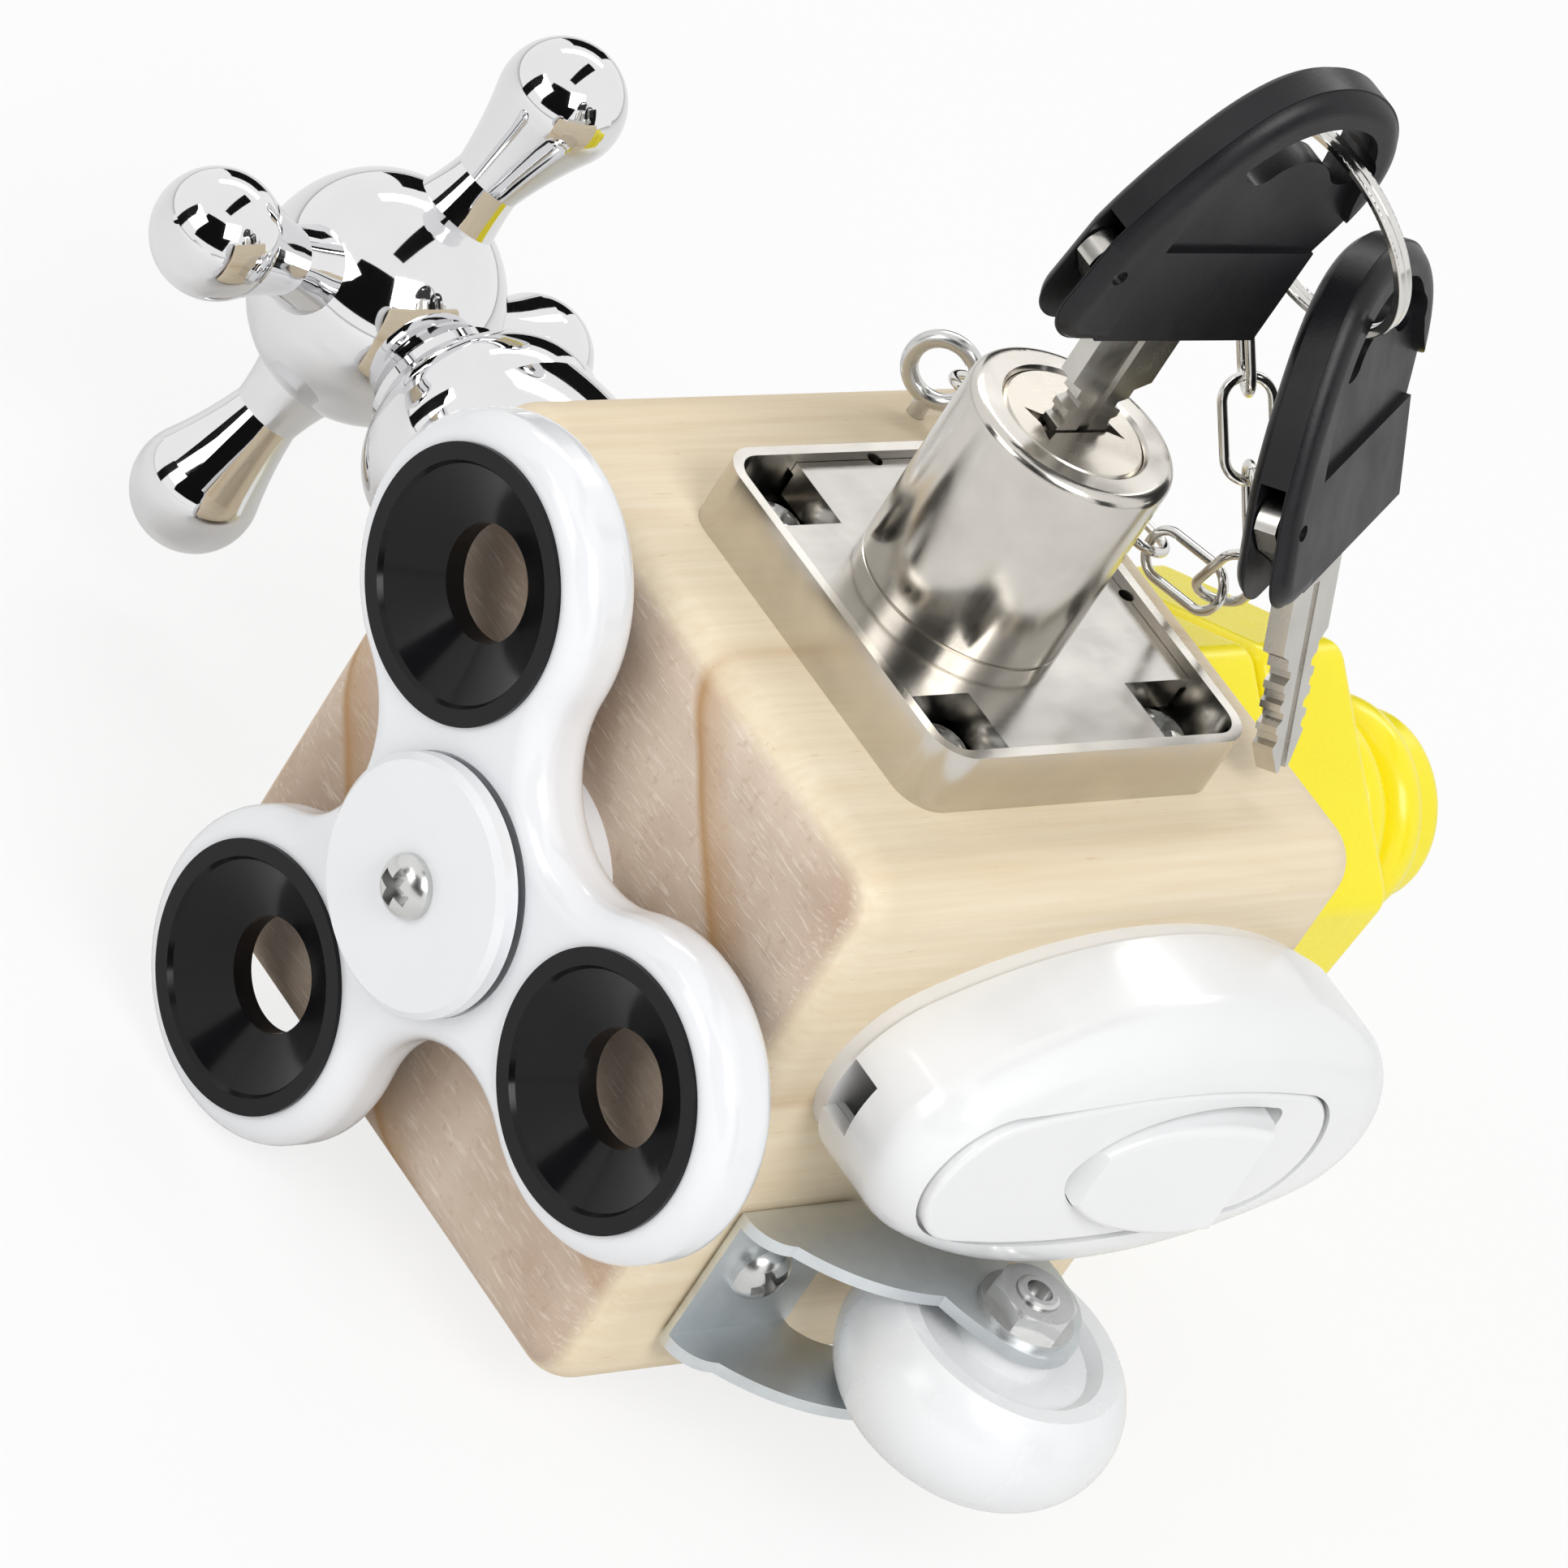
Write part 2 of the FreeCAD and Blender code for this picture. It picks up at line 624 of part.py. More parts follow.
def key_pieces(fold):
    """Head, blade and pin in the key's frame."""
    head = slab(head_outline(), -web_thick / 2, web_thick / 2)
    rim = slab(head_outline(), -rim_thick / 2, rim_thick / 2)
    rim = soften(rim, rim_soft, at_height(-rim_thick / 2, rim_thick / 2))
    rim = rim.cut(slab(rim_hollow(), -rim_thick, rim_thick))
    head = head.fuse(rim)
    panel = slab(outline((panel_left, head_v0 + 0.2), (21.4, head_v0 + 0.2), (21.7, panel_top),
                         (panel_left, panel_top)), -panel_thick / 2, panel_thick / 2)
    head = head.fuse(panel)
    head = head.cut(slab(ring_slot(), -rim_thick, rim_thick))
    head = head.cut(block(-8, slit_right, head_v0 - 4, slit_top, -slit / 2, slit / 2))
    head = head.cut(rod(key_pin_r + snug, -rim_thick, rim_thick, key_pin_u, 0))

    a = key_axis_u
    s = shoulder_w / 2
    h = blade_w / 2
    p = key_pin_u
    blank = slab(outline(
        (p - 2.3, 0), (p - 1.6, 1.6, p, 2.3), (a + s, -3.0), (a + s, shoulder_v),
        (a + h, shoulder_v - 0.8), (a + h, blade_tip_v + 2.6), (a + 1.2, blade_tip_v),
        (a - 1.2, blade_tip_v), (a - h, blade_tip_v + 2.6), (a - h, shoulder_v - 0.8),
        (a - s, shoulder_v), (a - s, -5.4), (p - 0.6, -2.3)), -blade_thick / 2, blade_thick / 2)
    for i, deep in enumerate((0.9, 0.5, 1.0, 0.6)):
        v = shoulder_v - 2.4 - 1.9 * i
        for hand in (-1, 1):
            u = a + hand * h
            notch = outline((u + hand, v + 1.1), (u - hand * deep, v + 0.3),
                            (u - hand * deep, v - 0.3), (u + hand, v - 1.1))
            blank = blank.cut(slab(notch, -blade_thick, blade_thick))
    for z in (-1, 1):
        flute = block(a - 0.6, a + 0.6, blade_tip_v - 1, head_v0, 0, 0.3)
        flute.translate(V(0, 0, blade_thick / 2 - 0.3 if z > 0 else -blade_thick / 2))
        blank = blank.cut(flute)
    blank = blank.cut(rod(key_pin_r + running, -5, 5, p, 0))
    blank.rotate(V(p, 0, 0), V(0, 0, 1), fold)
    pin = rod(key_pin_r, -rim_thick / 2 + 0.5, rim_thick / 2 - 0.5, p, 0)
    return head, blank, pin


def keys():
    lean = math.radians(key_1_lean)
    across = (math.cos(lean), math.sin(lean), 0)
    pin_1 = (barrel_x - key_axis_u * across[0], barrel_y - key_axis_u * across[1], key_1_pin_z)
    places = {1: (pin_1, across, (0, 0, 1), 0.0),
              2: (key_2_pin, key_2_across, key_2_along, key_2_fold)}
    for number, (pin_at, u, v, fold) in places.items():
        normal = V(*u).cross(V(*v))
        at = frame(pin_at, u, (normal.x, normal.y, normal.z))
        head, blade, pin = key_pieces(fold)
        parts["key_%d_head" % number] = put(head, at)
        parts["key_%d_blade" % number] = put(blade, at)
        parts["key_%d_pin" % number] = put(pin, at)

    # Key ring of flat wire, shown closed
    r = ring_mean_r
    f = ring_flat / 2
    w = ring_wire / 2
    e = 0.2
    k = e * (1 - math.sqrt(0.5))
    ring = turned(
        (r - f + e, -w), (r + f - e, -w), (r + f - k, -w + k, r + f, -w + e), (r + f, -0.1),
        (r + f - 0.12, 0), (r + f, 0.1), (r + f, w - e), (r + f - k, w - k, r + f - e, w),
        (r - f + e, w), (r - f + k, w - k, r - f, w - e), (r - f, 0.1), (r - f + 0.12, 0),
        (r - f, -0.1), (r - f, -w + e), (r - f + k, -w + k, r - f + e, -w))
    n = V(*ring_normal)
    x = n.cross(V(0, 0, 1))
    parts["key_ring"] = put(ring, frame(ring_centre, (x.x, x.y, x.z), ring_normal))


# Chain of oval links from a screw eye
def link(centre, along, flat):
    """One oval link lying along a direction, its plane square to flat."""
    tip_r = (link_width - 2 * link_wire_r) / 2
    run = (link_len - 2 * link_wire_r) / 2 - tip_r
    path = Part.Wire([
        Part.makeLine(V(0, tip_r, 0), V(run, tip_r, 0)),
        Part.Arc(V(run, tip_r, 0), V(run + tip_r, 0, 0), V(run, -tip_r, 0)).toShape(),
        Part.makeLine(V(run, -tip_r, 0), V(-run, -tip_r, 0)),
        Part.Arc(V(-run, -tip_r, 0), V(-run - tip_r, 0, 0), V(-run, tip_r, 0)).toShape(),
        Part.makeLine(V(-run, tip_r, 0), V(0, tip_r, 0))])
    section = Part.Wire(Part.makeCircle(link_wire_r, V(0, tip_r, 0), V(1, 0, 0)))
    solid = path.makePipeShell([section], True, True)
    return put(solid, frame((centre.x, centre.y, centre.z), (along.x, along.y, along.z),
                            (flat.x, flat.y, flat.z)))


def walk(start, route, pitch):
    """Link joints a pitch apart, from start along the straight runs of a route."""
    found = [start]
    a = start
    for point in route:
        b = V(*point)
        while (b - found[-1]).Length > pitch:
            d = b - a
            m = a - found[-1]
            qa = d.dot(d)
            qb = 2 * m.dot(d)
            qc = m.dot(m) - pitch ** 2
            a = a + d * ((-qb + math.sqrt(qb ** 2 - 4 * qa * qc)) / (2 * qa))
            found.append(a)
        a = b
    return found


def chain():
    eye_z = side + eye_lift + eye_mean_r + eye_wire_r
    eye = Part.makeTorus(eye_mean_r, eye_wire_r, V(eye_x, eye_y, eye_z), V(*eye_face))
    neck_top = eye_z - eye_mean_r
    neck = Part.makeCylinder(eye_wire_r, neck_top - side + eye_shank_len, V(eye_x, eye_y, side - eye_shank_len))
    parts["screw_eye"] = eye.fuse(neck)
    pilots.append(Part.makeCylinder(eye_wire_r + snug, eye_shank_len + snug,
                                    V(eye_x, eye_y, side - eye_shank_len - snug)))
    pitch = link_len - 4 * link_wire_r - link_slack
    first = V(*first_link_at)
    lead = (V(*chain_route[0]) - first).normalize()
    joints = walk(first - lead * (pitch / 2), [first_link_at] + list(chain_route), pitch)
    flat = V(*chain_roll)
    links = []
    for i in range(len(joints) - 1):
        along = (joints[i + 1] - joints[i]).normalize()
        flat = flat - along * flat.dot(along)
        flat.normalize()
        centre = (joints[i] + joints[i + 1]) * 0.5
        links.append(link(centre, along, flat))
        flat = along.cross(flat)
    parts["chain_lower_links"] = Part.makeCompound(links[:lower_links])
    parts["chain_upper_links"] = Part.makeCompound(links[lower_links:])
    print("chain links", len(joints) - 1, "pitch", round(pitch, 2))
    print("chain joints", [tuple(round(c, 2) for c in (p.x, p.y, p.z)) for p in joints])


# Tap handle with its flange
def tap():
    w = flange_wall
    top = flange_h
    flange = turned(
        (spindle_r + snug, 0), (flange_foot_r, 0), (flange_foot_r, 0.8), (flange_foot_r - 0.3, 1.6),
        (flange_r + 0.5, 3.2), (flange_r + 0.25, 8.0, flange_r, 12.0), (flange_r - 0.1, top - 10.5, flange_r - 0.6, top - 7.2),
        (10.4, top - 2.3, 8.0, top), (collar_r - 0.4, top), (spindle_r + snug, top))
    parts["tap_flange"] = put(flange, tap_at)
    c0 = top
    c1 = c0 + collar_h
    collar = turned(
        (spindle_r + snug, c0), (collar_r - 0.5, c0), (collar_r - 0.5, c0 + 0.9), (collar_r, c0 + 1.3),
        (collar_r, c1 - 0.4), (collar_r - 0.4, c1), (spindle_r + snug, c1))
    parts["tap_collar"] = put(collar, tap_at)

    # Handle: round hub on a short neck, four arms that swell to round ends
    h0 = c1 + apart
    joint = arm_plane - math.sqrt(hub_r ** 2 - (hub_neck_r + 0.8) ** 2)
    neck = turned((0, h0), (hub_neck_r, h0), (hub_neck_r, h0 + 0.6), (hub_neck_r + 0.8, joint + 0.6),
                  (hub_neck_r, arm_plane), (0, arm_plane))
    face_z = arm_plane + math.sqrt(hub_r ** 2 - (cap_r + 0.6) ** 2)
    hub = Part.makeSphere(hub_r, V(0, 0, arm_plane))
    hub = hub.common(rod(2 * hub_r, joint - 0.5, face_z)).fuse(neck)
    seam = math.sqrt(arm_bulb_r ** 2 - 2.0 ** 2)
    tip_k = arm_bulb_r * math.sqrt(0.5)
    for i in range(tap_arms):
        arm = turned(
            (0, 6.0), (arm_root_r + 1.0, 6.0), (arm_root_r - 1.0, 10.6, arm_neck_r, arm_neck_at),
            (arm_neck_r + 0.9, 18.6, seam, arm_reach - 2.0),
            (tip_k, arm_reach + tip_k, 0, arm_reach + arm_bulb_r))
        arm.rotate(V(0, 0, 0), V(0, 1, 0), 90)
        arm.rotate(V(0, 0, 0), V(0, 0, 1), 180 - tap_arm_turn + 360 / tap_arms * i)
        arm.translate(V(0, 0, arm_plane))
        hub = hub.fuse(arm)
    shelf = arm_plane - 1.0
    hub = hub.cut(rod(spindle_r + running, h0 - 1, shelf + 1))
    hub = hub.cut(rod(cap_r, shelf, face_z + 1))
    parts["tap_handle"] = put(hub, tap_at)

    # Fixed spindle, the screw and washer that keep the handle on it, and the index cap
    spindle_top = shelf + apart
    spindle = rod(spindle_r, -spindle_wood, spindle_top).cut(rod(tap_screw_r, spindle_top - 12, spindle_top + 1))
    parts["tap_spindle"] = put(spindle, tap_at)
    pilots.append(put(rod(spindle_r + snug, -spindle_wood - snug, 1), tap_at))
    washer_top = spindle_top + 1.0
    screw = rod(tap_screw_r - snug, spindle_top - 11.5, washer_top).fuse(rod(cap_r - 0.4, spindle_top, washer_top))
    screw = screw.fuse(rod(3.0, washer_top - 0.2, washer_top + 1.8))
    screw.translate(V(0, 0, 0))
    recess = cross_recess(3.0, washer_top + 1.8, 1.3)
    parts["tap_screw"] = put(screw.cut(recess), tap_at)
    seat = face_z - 2.4
    cap = turned((0, seat), (cap_r - snug, seat), (cap_r - snug, face_z - 0.2), (cap_r - 0.5, face_z + 0.3),
                 (2.6, face_z + 0.8, 1.0, face_z + 1.0), (0, face_z + 1.0))
    parts["tap_index_cap"] = put(cap, tap_at)


def hexagon(flats, corner=0.0):
    """Regular hexagon with a vertex on +Y, as a wire, with round corners if asked."""
    r = flats / math.sqrt(3)
    tips = [V(r * math.sin(math.pi / 3 * i), r * math.cos(math.pi / 3 * i), 0) for i in range(6)]
    if corner == 0:
        return Part.makePolygon(tips + [tips[0]])
    back = corner * math.tan(math.pi / 6)
    bulge = corner * (1 / math.cos(math.pi / 6) - 1)
    edges = []
    for i, tip in enumerate(tips):
        before = (tips[i - 1] - tip).normalize()
        after = (tips[(i + 1) % 6] - tip).normalize()
        start = tip + before * back
        end = tip + after * back
        crown = tip - V(tip.x, tip.y, 0).normalize() * bulge
        edges.append(Part.Arc(start, crown, end).toShape())
        following = tips[(i + 1) % 6]
        edges.append(Part.makeLine(end, following + (tip - following).normalize() * back))
    return Part.Wire(edges)


# Toy bolt and nut
def toy():
    head = slab(hexagon(toy_flats, toy_corner_r), 0, toy_head_h)
    head = soften(head, toy_edge, at_height(0, toy_head_h))
    profile = [(0, toy_head_h - 1), (toy_core_r, toy_head_h - 1), (toy_core_r, toy_head_h + 1.2)]
    z = toy_head_h + 1.2
    while z + toy_pitch < toy_len - 2.0:
        profile.append((toy_core_r, z))
        profile.append((toy_ridge_r + 0.15, z + toy_pitch * 0.45, toy_core_r, z + toy_pitch * 0.9))
        z += toy_pitch
    profile.append((toy_core_r, toy_len - 1.6))
    profile.append((toy_core_r - 0.5, toy_len - 0.4, toy_core_r - 1.6, toy_len))
    profile.append((0, toy_len))
    shank = turned(*profile)
    bolt = head.fuse(shank)
    bolt = bolt.cut(rod(toy_bore_r, toy_bore_floor, toy_len + 1))
    bolt = bolt.cut(rod(toy_screw_r + 0.1, -1, toy_bore_floor + 1))
    turn = FreeCAD.Placement(V(0, 0, 0), FreeCAD.Rotation(V(0, 0, 1), 4))
    parts["toy_bolt"] = put(put(bolt, turn), toy_at)
    n0 = toy_head_h + apart
    n1 = n0 + toy_nut_h
    nut = slab(hexagon(toy_flats, toy_corner_r), n0, n1)
    nut = soften(nut, toy_edge, at_height(n0, n1))
    nut = nut.cut(rod(toy_ridge_r + apart, n0 - 1, n1 + 1))
    parts["toy_nut"] = put(put(nut, turn), toy_at)
    screw = wood_screw(3.6, 2.2, toy_screw_r, toy_screw_len)
    screw.translate(V(0, 0, toy_bore_floor))
    parts["toy_bolt_screw"] = put(screw, toy_at)
    hole = pilot(toy_screw_r, toy_screw_len)
    hole.translate(V(0, 0, toy_bore_floor))
    pilots.append(put(hole, toy_at))


# Inline switch
def switch():
    t = switch_wall
    tip = switch_tip_r

    def shell(shrink, z0, z1):
        return slab(oval(switch_len - 2 * shrink, switch_w - 2 * shrink, tip - shrink), z0, z1)

    base = shell(0.6, 0, switch_foot_h).fuse(shell(0, switch_foot_h, switch_base_h))
    base = base.cut(shell(t, t, switch_base_h + 1))
    lip = shell(t + 0.1, t, switch_base_h + 1.0).cut(shell(t + 0.9, t - 1, switch_base_h + 2))
    base = base.fuse(lip)
    cover = soften(shell(0, switch_base_h, switch_h), switch_soft, at_height(switch_h))
    inner = soften(shell(t, switch_base_h - 1, switch_h - t), switch_soft - t, at_height(switch_h - t))
    cover = cover.cut(inner)

    # Cord entry, left open at the left end where no cord is fitted
    entry = block(-switch_len / 2 - 3, -switch_len / 2 + 5, -cord_hole_w / 2, cord_hole_w / 2,
                  switch_base_h - cord_hole_h / 2, switch_base_h + cord_hole_h / 2)
    base = base.cut(entry)
    cover = cover.cut(entry)

    # Panel set into the cover, with the rocker's window
    px = panel_x - switch_x
    rx = rocker_x - switch_x
    g = 0.3
    floor = switch_h - t - 0.8
    cover = cover.cut(slab(oval(panel_len + 2 * g, panel_w + 2 * g, panel_tip_r + g, px), floor, switch_h + 1))
    panel = slab(oval(panel_len, panel_w, panel_tip_r, px), floor + 0.4, switch_h)
    panel = soften(panel, 0.5, at_height(switch_h))
    brim = slab(oval(panel_len + 2, panel_w + 2, panel_tip_r + 1, px), floor - 0.5, floor + 0.4)
    cover = cover.cut(slab(oval(panel_len + 2.2, panel_w + 2.2, panel_tip_r + 1.1, px), floor - 2, floor + 0.4))
    panel = panel.fuse(brim)
    window = slab(leaf(rocker_len + 1.6, rocker_w + 2 * apart), 0, 40)
    window.translate(V(rx, 0, 0))
    panel = panel.cut(window)

    # Rocker tilts about a pin across the switch
    pivot_z = switch_h - rocker_pin_drop
    face = switch_h + rocker_proud
    rocker = slab(leaf(rocker_len, rocker_w), pivot_z - 2.0, face)
    rocker = soften(rocker, 0.7, at_height(face))
    sweep = math.hypot(rocker_len / 2, rocker_pin_drop * 0.6)
    rocker = rocker.common(Part.makeCylinder(sweep, 40, V(0, 20, pivot_z), V(0, -1, 0)))
    rocker = rocker.cut(block(-6, 6, -rocker_w / 2 + 2.0, rocker_w / 2 - 2.0, pivot_z - 4, pivot_z + 3.6))
    rocker = rocker.cut(Part.makeCylinder(rocker_pin_r + running, 60, V(0, 30, pivot_z), V(0, -1, 0)))
    tilt = FreeCAD.Rotation(V(0, 1, 0), -rocker_tilt)
    lean = FreeCAD.Placement(V(rx, 0, pivot_z), tilt).multiply(
        FreeCAD.Placement(V(0, 0, -pivot_z), FreeCAD.Rotation()))
    parts["switch_rocker"] = put(put(rocker, lean), switch_at)

    # Ears of the base carry the pin
    ear_in = rocker_w / 2 + apart
    ear_out = ear_in + 1.6
    reach = ear_out + 0.4
    ear_top = pivot_z + 1.4
    for s in (-1, 1):
        base = base.fuse(block(rx - 2.0, rx + 2.0, min(s * ear_in, s * ear_out), max(s * ear_in, s * ear_out),
                               t - 0.2, ear_top))
    base = base.cut(Part.makeCylinder(rocker_pin_r + snug, 2 * reach, V(rx, reach, pivot_z), V(0, -1, 0)))
    pin = Part.makeCylinder(rocker_pin_r, 2 * ear_out, V(rx, ear_out, pivot_z), V(0, -1, 0))
    parts["switch_pin"] = put(pin, switch_at)

    # Screws that hold the base to the wood
    mounts = []
    for i, x in enumerate((-16.0, 15.0)):
        base = base.cut(rod(1.4 + snug, -1, t + 1, x, 0))
        screw = wood_screw(2.8, 1.6, 1.4, 12.0)
        screw.rotate(V(0, 0, 0), V(0, 0, 1), 15 + 40 * i)
        screw.translate(V(x, 0, t))
        mounts.append(screw)
        hole = pilot(1.4, 12.0)
        hole.translate(V(x, 0, t))
        pilots.append(put(hole, switch_at))
    parts["switch_mount_screws"] = put(Part.makeCompound(mounts), switch_at)

    # Brass contacts on the base and the bridge carried under the rocker
    contacts = []
    for s in (-1, 1):
        x = rx + s * 5.0
        foot = block(x - 1.6, x + 1.6, -3.0, 3.0, t, t + 0.8)
        post = block(x - 0.5, x + 0.5, -2.0, 2.0, t + 0.8, t + 3.0)
        contacts.append(foot.fuse(post))
    parts["switch_contacts"] = put(Part.makeCompound(contacts), switch_at)
    bridge = block(-5.4, 5.4, -2.2, 2.2, pivot_z + 2.8, pivot_z + 3.6)
    bridge = bridge.fuse(block(-1.6, 1.6, -2.2, 2.2, pivot_z - 2.2, pivot_z + 2.8))
    bridge = bridge.cut(Part.makeCylinder(rocker_pin_r + 0.1, 60, V(0, 30, pivot_z), V(0, -1, 0)))
    parts["switch_bridge"] = put(put(bridge, lean), switch_at)

    # Two screws hold the cover at the end away from the cord, driven in from the back
    holders = []
    for y in (-case_post_y, case_post_y):
        post_top = switch_base_h + 3.0
        cover = cover.fuse(tube(1.9, 0.9, post_top - 2.8, switch_h - t + 0.6, case_post_x, y))
        base = base.fuse(tube(1.9, 0.9, t - 0.2, post_top - 2.8, case_post_x, y))
        base = base.cut(rod(0.9, -1, t + 1, case_post_x, y))
        base = base.cut(rod(1.9, -1, 1.2, case_post_x, y))
        shank = rod(0.9 - snug, 1.0, post_top + 1.6, case_post_x, y)
        holders.append(shank.fuse(rod(1.8, 0.2, 1.2, case_post_x, y)))
    parts["switch_case_screws"] = put(Part.makeCompound(holders), switch_at)
    parts["switch_base"] = put(base, switch_at)
    parts["switch_cover"] = put(cover, switch_at)
    parts["switch_panel"] = put(panel, switch_at)


# Caster: bent fork, wheel, axle and nut
def caster():
    m = fork_metal
    hw = fork_w / 2
    hl = plate_len / 2
    ax = axle_x - caster_x
    out = axle_out
    plate = block(-hl, hl, -hw + 1, hw - 1, 0, m)
    cheek_wire = outline(
        (-hl, 0), (-hl, m + 0.3), (-hl + 0.8, m + 2.2, -hl + 3.2, m + 3.6),
        (-hl + 8.4, m + 8.0, ax - 7.2, out - 2.8), (ax - 5.9, out + 0.2, ax - 4.6, out + 2.2),
        (ax - 0.2, out + 5.2, ax + 4.6, out + 2.6), (ax + 6.4, out + 0.4, ax + 6.9, out - 2.6),
        (ax + 6.4, out - 6.6, ax - 1.0, out - 11.0), (hl + 1.2, m + 2.2, hl, m + 0.6), (hl, 0))
    fork = plate
    for y in (-hw, hw - m):
        cheek = Part.Face(cheek_wire).extrude(V(0, 0, m))
        cheek.rotate(V(0, 0, 0), V(1, 0, 0), 90)
        cheek.translate(V(0, y + m, 0))
        fork = fork.fuse(cheek)
    fork = fork.removeSplitter()
    fold_edges = [e for e in fork.Edges if abs(e.BoundBox.ZMax) < 1e-4 and abs(abs(e.BoundBox.YMin) - hw) < 1e-4
                  and abs(abs(e.BoundBox.YMax) - hw) < 1e-4]
    fork = fork.makeFillet(m * 0.9, fold_edges)
    sx, sy = caster_screw_at
    fork = fork.cut(rod(caster_screw_r + 0.15, -1, m + 1, sx, sy))
    hole = Part.makeCylinder(axle_r + snug, fork_w + 10, V(ax, -hw - 5, axle_out), V(0, 1, 0))
    fork = fork.cut(hole)
    parts["caster_fork"] = put(fork, caster_at)

    screw = wood_screw(2.9, 1.8, caster_screw_r, 14.0)
    screw.rotate(V(0, 0, 0), V(0, 0, 1), 28)
    screw.translate(V(sx, sy, m))
    parts["caster_screw"] = put(screw, caster_at)
    seat = pilot(caster_screw_r, 14.0)
    seat.translate(V(sx, sy, m))
    pilots.append(put(seat, caster_at))

    # Wheel, turned about its own axis: crowned tread, sunk hub faces
    w = wheel_w / 2
    hub = wheel_hub_r
    sink = wheel_hub_sink
    wheel = turned(
        (axle_r + running, -w), (hub - 2.0, -w), (hub - 1.6, -w + sink), (wheel_side_r - 2.6, -w + sink),
        (wheel_side_r - 1.6, -w + 0.5), (wheel_side_r, -w + 0.4), (wheel_r, 0, wheel_side_r, w - 0.4),
        (wheel_side_r - 1.6, w - 0.5), (wheel_side_r - 2.6, w - sink), (hub - 1.6, w - sink), (hub - 2.0, w),
        (axle_r + running, w))
    along = frame((ax, 0, axle_out), (1, 0, 0), (0, 1, 0))
    parts["caster_wheel"] = put(put(wheel, along), caster_at)

    # Axle with a flanged head on one side and a washer and nut on the other
    axle = turned((0, -hw - 1.6), (3.0, -hw - 1.6), (3.4, -hw), (axle_r, -hw), (axle_r, hw + 2.6),
                  (axle_r - 0.3, hw + 2.8), (0, hw + 2.8))
    axle = axle.cut(rod(1.2, hw + 1.2, hw + 5))
    parts["caster_axle"] = put(put(axle, along), caster_at)
    nut = slab(hexagon(nut_flats), hw + 0.5, hw + 2.4)
    nut = nut.common(turned((0, hw), (3.6, hw), (4.2, hw + 0.9), (4.2, hw + 1.9), (3.4, hw + 2.45), (0, hw + 2.45)))
    nut = nut.fuse(rod(4.4, hw, hw + 0.6)).cut(rod(axle_r + snug, hw - 1, hw + 5))
    parts["caster_nut"] = put(put(nut, along), caster_at)


def cube():
    wood = block(-half, half, -half, half, 0, side)
    wood = wood.makeFillet(edge_round, wood.Edges)
    for hole in pilots:
        wood = wood.cut(hole)
    parts["wood_cube"] = wood


spinner()
lock()
keys()
chain()
tap()
toy()
switch()
caster()
cube()

os.makedirs("parts", exist_ok=True)
for name in sorted(parts):
    shape = parts[name]
    solids = shape.Solids
    if not shape.isValid() or not solids:
        print("NOT VALID", name)
    if len(solids) == 1:
        shape = solids[0]
    shape.exportStep("parts/%s.step" % name)
    box = shape.BoundBox
    print("%-20s %2d %9.1f" % (name, len(solids), sum(s.Volume for s in solids)),
          [round(v, 1) for v in (box.XMin, box.XMax, box.YMin, box.YMax, box.ZMin, box.ZMax)])
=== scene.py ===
# %% [markdown]
# # A palm-sized wooden busy cube
# The real thing is a small pine block with a ready-made fitting screwed to five of its
# faces: a hand spinner, a drawer lock with two folding keys, a tap handle, a toy bolt with
# its nut, and a rocker switch above a little caster. The solids arrive finished, so this
# lesson is about finishes, light and the camera. Every solid stays exactly where it is.

import bpy
from mathutils import Matrix, Vector


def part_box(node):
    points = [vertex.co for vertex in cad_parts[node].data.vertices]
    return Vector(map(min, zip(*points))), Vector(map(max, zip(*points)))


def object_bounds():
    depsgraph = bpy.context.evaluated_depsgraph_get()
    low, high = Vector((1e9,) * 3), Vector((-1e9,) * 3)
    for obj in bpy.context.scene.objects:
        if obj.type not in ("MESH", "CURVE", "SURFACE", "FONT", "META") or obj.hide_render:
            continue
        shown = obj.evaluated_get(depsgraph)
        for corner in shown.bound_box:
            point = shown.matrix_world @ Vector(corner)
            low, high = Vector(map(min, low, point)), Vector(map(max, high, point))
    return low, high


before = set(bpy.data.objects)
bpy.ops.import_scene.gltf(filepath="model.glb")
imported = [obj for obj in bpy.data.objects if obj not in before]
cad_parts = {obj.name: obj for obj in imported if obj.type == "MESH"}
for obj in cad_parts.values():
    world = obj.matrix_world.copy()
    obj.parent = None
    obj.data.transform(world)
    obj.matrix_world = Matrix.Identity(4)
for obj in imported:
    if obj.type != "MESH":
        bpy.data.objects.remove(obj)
solids_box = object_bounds()
MM = 0.001
print("nodes", len(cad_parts))
print("box", [[round(v, 4) for v in corner] for corner in solids_box])

# %% [markdown]
# ## The camera
# The photograph is taken from above the corner between the spinner and the switch, from
# far away with a long lens, so that parallel edges stay almost parallel. A short lens close
# by would swell the near spinner lobe. The place and the three directions below come from
# lining up the edges of the 60 mm block.

# %% Put the camera in the photographer's place
CAMERA_PLACE_MM = (-556.616, -384.066, 466.903)
PICTURE_RIGHT = Vector((0.71968387, -0.51522576, 0.46540041))
PICTURE_DOWN = Vector((-0.05111062, -0.70781006, -0.70455136))
LOOKING = Vector((0.69241810, 0.48326735, -0.53573299))
LENS_MM = 217.734
SENSOR_MM = 36.0

